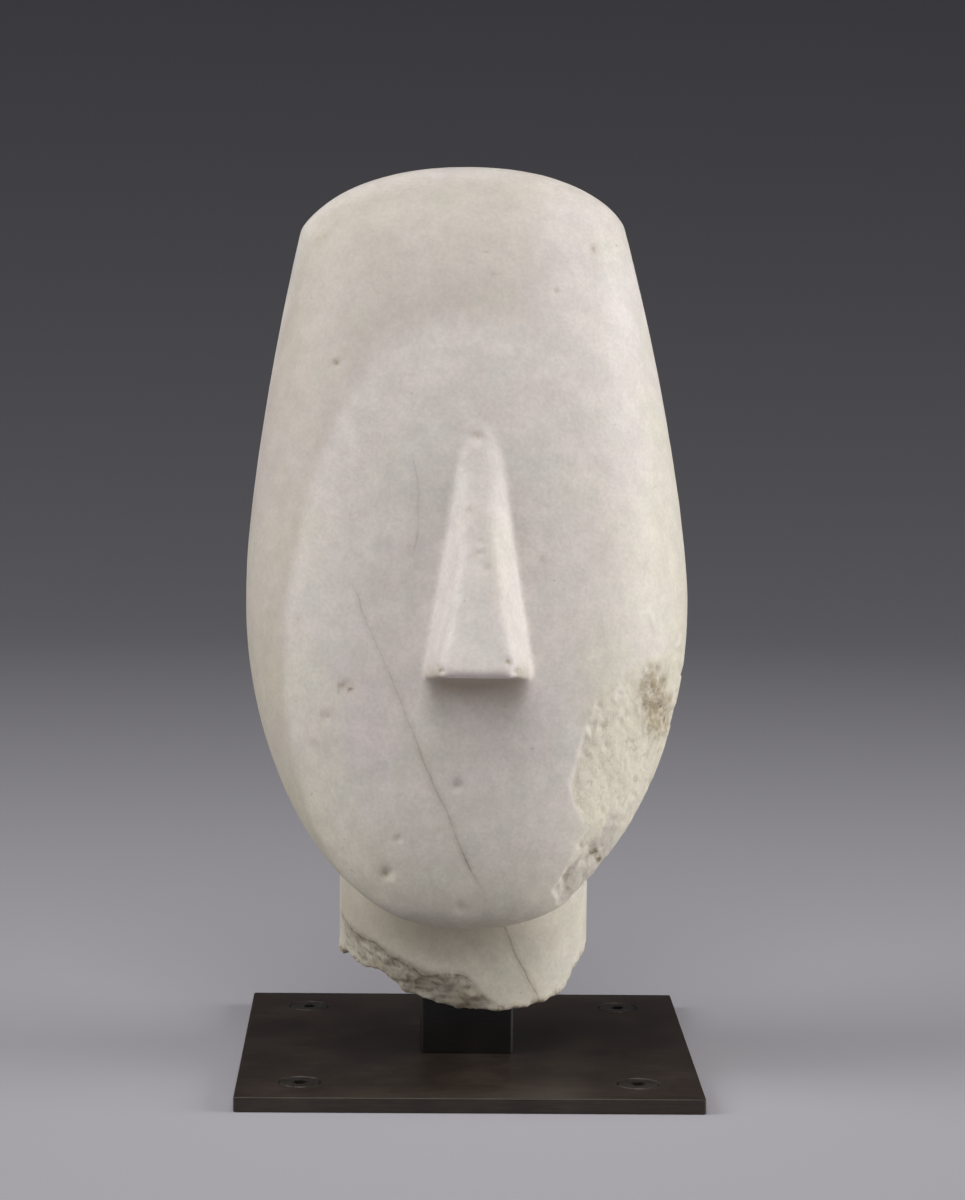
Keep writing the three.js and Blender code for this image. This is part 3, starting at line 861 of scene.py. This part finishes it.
def one_screw():
    """Flat-head screw with a hexagon socket, standing at the origin."""
    top = PLATE["thickness"] - SCREW["sink"]
    profile = screw_profile(0, SCREW_FOOT, top)
    chamfer = 0.3
    profile[-1] = (SCREW["head_radius"], top - chamfer)
    profile.append((SCREW["head_radius"] - chamfer, top))
    screw = turned("screw", profile)
    across = SCREW["socket_across"] / 2 / math.cos(math.pi / 6)
    socket = moved(turned("socket", [(across, -SCREW["socket_depth"]), (across, 1)], 6), 0, 0, top)
    return cut_away(screw, socket)


def screw_tree():
    """Two rows of two screws, each turned as it came to rest when it was driven in."""
    kinds = {
        "Screw": "Object", "Spacing": "Float", "Per Side": "Int", "Seed": "Int",
        "Material": "Material",
    }
    tree, given = new_geometry_tree("screws_on_a_grid", kinds)
    grid = add_node(
        tree, "GeometryNodeMeshGrid",
        {0: given["Spacing"], 1: given["Spacing"], 2: given["Per Side"], 3: given["Per Side"]},
    )
    part = add_node(tree, "GeometryNodeObjectInfo", {"Object": given["Screw"]})
    turn = add_node(
        tree, "FunctionNodeRandomValue", {0: (0, 0, 0), 1: (0, 0, math.tau), "Seed": given["Seed"]},
        data_type="FLOAT_VECTOR",
    )
    placed = add_node(
        tree, "GeometryNodeInstanceOnPoints",
        {"Points": grid.outputs[0], "Instance": part.outputs["Geometry"], "Rotation": turn.outputs[0]},
    )
    finish_tree(tree, placed.outputs[0], given["Material"])
    return tree


def screws_piece(material):
    source = one_screw()
    spacing = (PLATE["side"] - 2 * SCREW["inset"]) * MM
    values = {"Screw": source, "Spacing": spacing, "Per Side": 2, "Seed": SEED, "Material": material}
    screws = grown("screws", screw_tree(), values)
    bpy.data.objects.remove(source)
    smooth_shaded(screws, 30)
    return screws


# ------------------------------------------------------------ finishes


def new_material(name):
    material = bpy.data.materials.new(name)
    material.use_nodes = True
    tree = material.node_tree
    return material, tree, tree.nodes["Principled BSDF"]


def mixed(tree, factor, first, second, blend="MIX"):
    inputs = {0: factor, 6: first, 7: second}
    node = add_node(tree, "ShaderNodeMix", inputs, data_type="RGBA", blend_type=blend)
    return node.outputs[2]


def noise(tree, where, scale, detail=3.0, rough=0.5):
    inputs = {"Vector": where, "Scale": scale, "Detail": detail, "Roughness": rough}
    return add_node(tree, "ShaderNodeTexNoise", inputs).outputs[0]


def between(tree, value, low, high, out_low=0.0, out_high=1.0):
    """Value taken smoothly from one range to another."""
    inputs = {0: value, 1: low, 2: high, 3: out_low, 4: out_high}
    return add_node(tree, "ShaderNodeMapRange", inputs, interpolation_type="SMOOTHSTEP").outputs[0]


def attribute(tree, name):
    return add_node(tree, "ShaderNodeAttribute", attribute_name=name).outputs["Fac"]


def times(tree, first, second):
    return maths(tree, "MULTIPLY", first, second)


def line(tree, distance, strength, half_width, halo):
    """Thin dark line with a soft halo where a distance is near 0."""
    near = maths(tree, "ABSOLUTE", distance)
    core = between(tree, near, half_width, 0.0)
    soft = times(tree, between(tree, near, halo, 0.0), 0.35)
    return times(tree, maths(tree, "MAXIMUM", core, soft), strength)


def marble_colour(tree, where):
    broad = between(tree, noise(tree, where, 24.0, 4.0), 0.35, 0.65)
    colour = mixed(tree, broad, (0.77, 0.70, 0.65, 1), (0.80, 0.735, 0.69, 1))
    green = between(tree, noise(tree, where, 62.0, 4.0, 0.55), 0.47, 0.62)
    colour = mixed(tree, times(tree, green, 0.5), colour, (0.75, 0.725, 0.645, 1))
    rose = between(tree, noise(tree, where, 48.0, 4.0, 0.55), 0.5, 0.65)
    colour = mixed(tree, times(tree, rose, 0.5), colour, (0.775, 0.695, 0.65, 1))
    colour = mixed(tree, times(tree, attribute(tree, "warmth"), 0.8), colour, (0.765, 0.72, 0.575, 1))
    cloud = between(tree, noise(tree, where, 150.0, 6.0, 0.65), 0.3, 0.75, 0.92, 1.055)
    grain = between(tree, noise(tree, where, 900.0, 2.0), 0.25, 0.75, 0.95, 1.04)
    speck = between(tree, noise(tree, where, 420.0, 2.0), 0.72, 0.8, 1.0, 0.8)
    tint = times(tree, times(tree, cloud, grain), speck)
    return mixed(tree, 1.0, colour, tint, "MULTIPLY")


def marble_marks(tree, where, colour):
    """Stains, veins, the flaked cheek and the break over the plain colour, with painted shade and a painted
    highlight.
    """
    fine = noise(tree, where, 380.0, 4.0, 0.7)
    coarse = noise(tree, where, 160.0, 4.0, 0.65)
    loss = attribute(tree, "loss")
    pitted = times(tree, loss, between(tree, fine, 0.52, 0.68))
    creamy = times(tree, loss, between(tree, coarse, 0.4, 0.7, 0.1, 0.55))
    colour = mixed(tree, creamy, colour, (0.80, 0.725, 0.575, 1))
    colour = mixed(tree, times(tree, pitted, 0.34), colour, (0.45, 0.36, 0.235, 1))
    # Painted highlight: lightens the band along the inner rim of the flaked cheek, where its step faces the
    # right lamp.
    painted_rim_highlight = times(tree, between(tree, loss, 0.05, 0.4), between(tree, loss, 0.98, 0.5))
    painted_rim_highlight = times(tree, painted_rim_highlight, between(tree, coarse, 0.45, 0.6, 0.0, 0.5))
    colour = mixed(tree, painted_rim_highlight, colour, (0.88, 0.82, 0.74, 1))
    facet = times(tree, attribute(tree, "facet"), between(tree, coarse, 0.35, 0.65, 0.15, 0.6))
    colour = mixed(tree, facet, colour, (0.5, 0.455, 0.42, 1))
    crust = times(tree, attribute(tree, "crust"), between(tree, fine, 0.32, 0.62, 0.2, 0.85))
    colour = mixed(tree, crust, colour, (0.35, 0.275, 0.165, 1))
    broken = attribute(tree, "broken")
    patchy = times(tree, broken, between(tree, coarse, 0.4, 0.6, 0.1, 0.8))
    colour = mixed(tree, patchy, colour, (0.60, 0.525, 0.385, 1))
    dark = times(tree, broken, between(tree, fine, 0.5, 0.64, 0.0, 0.75))
    colour = mixed(tree, dark, colour, (0.25, 0.195, 0.115, 1))
    rim = line(tree, attribute(tree, "flake_edge"), attribute(tree, "flake_rim"), 0.8, 2.6)
    rim = times(tree, times(tree, rim, 0.85), between(tree, fine, 0.36, 0.56))
    colour = mixed(tree, rim, colour, (0.21, 0.165, 0.1, 1))
    vein = line(tree, attribute(tree, "vein"), attribute(tree, "vein_strength"), 0.45, 2.2)
    vein = times(tree, vein, between(tree, fine, 0.34, 0.56, 0.45, 0.8))
    colour = mixed(tree, vein, colour, (0.28, 0.225, 0.17, 1))
    second = line(tree, attribute(tree, "second_vein"), attribute(tree, "second_vein_strength"), 0.7, 5.0)
    colour = mixed(tree, times(tree, second, 0.42), colour, (0.36, 0.33, 0.33, 1))
    # Painted shade: darkens the surface under the nose, in the fold below the chin and, partly as dirt, on
    # the left of the neck.
    colour = mixed(tree, times(tree, attribute(tree, "painted_shade_and_dirt"), 0.72), colour, (0.38, 0.315, 0.225, 1))
    residue = times(tree, attribute(tree, "residue"), between(tree, fine, 0.35, 0.55))
    colour = mixed(tree, times(tree, residue, 0.6), colour, (0.86, 0.79, 0.68, 1))
    stain = times(tree, attribute(tree, "stain"), between(tree, fine, 0.34, 0.62, 0.2, 1.0))
    olive = maths(tree, "MINIMUM", times(tree, stain, 0.62), 0.7)
    colour = mixed(tree, olive, colour, (0.45, 0.38, 0.25, 1))
    return mixed(tree, times(tree, between(tree, stain, 0.45, 1.3), 0.8), colour, (0.17, 0.135, 0.09, 1))


def marble_bump(tree, where):
    """Fine crystal grain everywhere, coarser on the flaked and broken places."""
    grain = times(tree, noise(tree, where, 1100.0, 2.0), 0.25)
    worn = times(tree, noise(tree, where, 260.0, 4.0, 0.6), 0.5)
    rough = maths(tree, "MAXIMUM", attribute(tree, "broken"), times(tree, attribute(tree, "loss"), 0.75))
    rough = maths(tree, "MAXIMUM", rough, attribute(tree, "crust"))
    broken = times(tree, times(tree, noise(tree, where, 420.0, 5.0, 0.65), 3.0), rough)
    height = maths(tree, "ADD", maths(tree, "ADD", grain, worn), broken)
    inputs = {"Height": height, "Strength": 0.5, "Distance": 0.3 * MM}
    return add_node(tree, "ShaderNodeBump", inputs).outputs[0]


def marble():
    material, tree, shader = new_material("worn_marble")
    where = tree.nodes.new("ShaderNodeTexCoord").outputs["Object"]
    colour = marble_marks(tree, where, marble_colour(tree, where))
    tree.links.new(colour, shader.inputs["Base Color"])
    rough = between(tree, noise(tree, where, 70.0, 4.0), 0.3, 0.7, 0.46, 0.62)
    rough = maths(tree, "MAXIMUM", rough, times(tree, attribute(tree, "broken"), 0.85))
    rough = maths(tree, "MAXIMUM", rough, times(tree, attribute(tree, "loss"), 0.75))
    tree.links.new(rough, shader.inputs["Roughness"])
    tree.links.new(marble_bump(tree, where), shader.inputs["Normal"])
    shader.inputs["Specular IOR Level"].default_value = 0.35
    shader.inputs["Subsurface Weight"].default_value = 0.12
    shader.inputs["Subsurface Radius"].default_value = (1.0, 0.8, 0.6)
    shader.inputs["Subsurface Scale"].default_value = 2.5 * MM
    return material


def dark_metal(name, colour, worn, roughness, metallic):
    """Dark painted or patinated metal with faint brushing along X and lighter rubbed patches."""
    material, tree, shader = new_material(name)
    where = tree.nodes.new("ShaderNodeTexCoord").outputs["Object"]
    long = add_node(tree, "ShaderNodeMapping", {0: where, "Scale": (0.06, 1.0, 1.0)}).outputs[0]
    brushed = noise(tree, long, 1500.0, 3.0)
    cloud = noise(tree, where, 45.0, 5.0, 0.6)
    uneven = maths(tree, "ADD", times(tree, brushed, 0.4), times(tree, cloud, 0.6))
    rubbed = between(tree, uneven, 0.4, 0.66)
    tree.links.new(mixed(tree, rubbed, colour, worn), shader.inputs["Base Color"])
    gloss = between(tree, cloud, 0.3, 0.7, roughness - 0.05, roughness + 0.07)
    tree.links.new(gloss, shader.inputs["Roughness"])
    bump = add_node(tree, "ShaderNodeBump", {"Height": brushed, "Strength": 0.25, "Distance": 0.02 * MM})
    tree.links.new(bump.outputs[0], shader.inputs["Normal"])
    shader.inputs["Metallic"].default_value = metallic
    return material


def paint(made, material):
    made.data.materials.clear()
    made.data.materials.append(material)


# ------------------------------------------------------------ studio


CAMERA_PLACE = (-20.6, -1021.4, 249.8)
CAMERA_TURN = (-1.352, -6.068, -0.653)  # yaw, pitch and roll in degrees
CAMERA_LENS = 101.8


def place_camera():
    yaw, pitch, roll = (math.radians(angle) for angle in CAMERA_TURN)
    data = bpy.data.cameras.new("camera")
    data.lens = CAMERA_LENS
    data.clip_start = 0.01
    camera = bpy.data.objects.new("camera", data)
    bpy.context.scene.collection.objects.link(camera)
    turn = Matrix.Rotation(yaw, 4, "Z") @ Matrix.Rotation(pitch, 4, "X") @ Matrix.Rotation(roll, 4, "Y")
    camera.matrix_world = (
        Matrix.Translation([v * MM for v in CAMERA_PLACE]) @ turn @ Matrix.Rotation(math.pi / 2, 4, "X")
    )
    bpy.context.scene.camera = camera


def soft_box(name, place, aim, size, power):
    data = bpy.data.lights.new(name, "AREA")
    data.shape = "RECTANGLE"
    data.size, data.size_y = size
    data.energy = power
    light = bpy.data.objects.new(name, data)
    bpy.context.scene.collection.objects.link(light)
    direction = Matrix.Translation(aim).translation - Matrix.Translation(place).translation
    light.location = place
    light.rotation_euler = direction.to_track_quat("-Z", "Y").to_euler()
    light.visible_camera = False


def backdrop():
    """Floor that sweeps up all round, pale in the middle and painted darker towards the wall as painted
    light falloff.
    """
    floor_radius, sweep, wall = 1.1, 1.5, 2.8
    profile = [(0.0, 0.0), (floor_radius, 0.0)]
    profile += [
        (floor_radius + sweep * math.sin(a), sweep * (1 - math.cos(a)))
        for a in np.linspace(0, math.pi / 2, 24)[1:]
    ]
    profile.append((floor_radius + sweep, wall))
    sides = 96
    points, faces = [], []
    for radius, height in profile:
        for k in range(sides):
            turn = math.tau * k / sides
            points.append((radius * math.cos(turn) / MM, radius * math.sin(turn) / MM, height / MM))
    for row in range(len(profile) - 1):
        for k in range(sides):
            after = (k + 1) % sides
            near, far = row * sides, (row + 1) * sides
            faces.append((near + k, far + k, far + after, near + after))
    made = mesh_object("floor", points, faces)
    shape = bmesh.new()
    shape.from_mesh(made.data)
    bmesh.ops.remove_doubles(shape, verts=shape.verts, dist=1e-6)
    bmesh.ops.recalc_face_normals(shape, faces=shape.faces)
    shape.to_mesh(made.data)
    shape.free()
    made.data.polygons.foreach_set("use_smooth", [True] * len(made.data.polygons))
    material, tree, shader = new_material("floor_with_painted_falloff")
    place = tree.nodes.new("ShaderNodeTexCoord").outputs["Object"]
    where = add_node(tree, "ShaderNodeSeparateXYZ", {0: place})
    flat = add_node(tree, "ShaderNodeCombineXYZ", {0: where.outputs[0], 1: where.outputs[1]}).outputs[0]
    away = add_node(tree, "ShaderNodeVectorMath", {0: flat}, operation="LENGTH").outputs["Value"]
    # Painted light falloff: the floor's colour darkens with distance from the middle, as if less lamp light
    # reached it.
    far = maths(tree, "POWER", maths(tree, "MINIMUM", maths(tree, "DIVIDE", away, 2.5), 1.0), 0.85)
    shade = mixed(tree, far, (0.44, 0.427, 0.458, 1), (0.095, 0.092, 0.107, 1))
    tree.links.new(shade, shader.inputs["Base Color"])
    shader.inputs["Roughness"].default_value = 0.9
    paint(made, material)


# Soft boxes round the object, in metres: place, width and height, power in watts.
SOFT_BOXES = {
    "top": ((0.0, -0.25, 1.6), (1.2, 1.0), 5.9),
    "front_top": ((0.0, -1.2, 1.6), (1.0, 0.8), 10.0),
    "right": ((1.28, -0.2, 0.28), (0.7, 1.1), 17.8),
    "left": ((-1.25, -0.3, 0.9), (0.7, 1.0), 12.4),
}
WORLD_LIGHT = 0.02


def light_studio():
    world = bpy.data.worlds.new("studio")
    bpy.context.scene.world = world
    world.use_nodes = True
    world.node_tree.nodes["Background"].inputs[0].default_value = (1, 1, 1, 1)
    world.node_tree.nodes["Background"].inputs[1].default_value = WORLD_LIGHT
    for name, (place, size, power) in SOFT_BOXES.items():
        soft_box(name, place, (0, 0, 0.15), size, power)
    bpy.context.scene.view_settings.view_transform = "Standard"


# ------------------------------------------------------------ build

plate_metal = dark_metal("dark_plate_paint", (0.033, 0.023, 0.018, 1), (0.056, 0.042, 0.033, 1), 0.36, 0.25)
post_metal = dark_metal("dark_post_paint", (0.012, 0.010, 0.009, 1), (0.022, 0.018, 0.016, 1), 0.4, 0.25)
screw_metal = dark_metal("blackened_screw_steel", (0.10, 0.085, 0.07, 1), (0.2, 0.175, 0.15, 1), 0.27, 0.85)

stone = stone_piece()
paint(stone, marble())
plate = plate_piece()
paint(plate, plate_metal)
post = post_piece()
paint(post, post_metal)
screws = screws_piece(screw_metal)

for piece, nodes, slot in (
    (stone, ("marble_head",), "marble"),
    (plate, ("base_plate",), "mount_metal"),
    (post, ("mount_post",), "mount_metal"),
    (screws, tuple(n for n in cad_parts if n.startswith("screw_")), "screw_metal"),
):
    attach(piece, "root")
    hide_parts(*nodes)

backdrop()
light_studio()
place_camera()
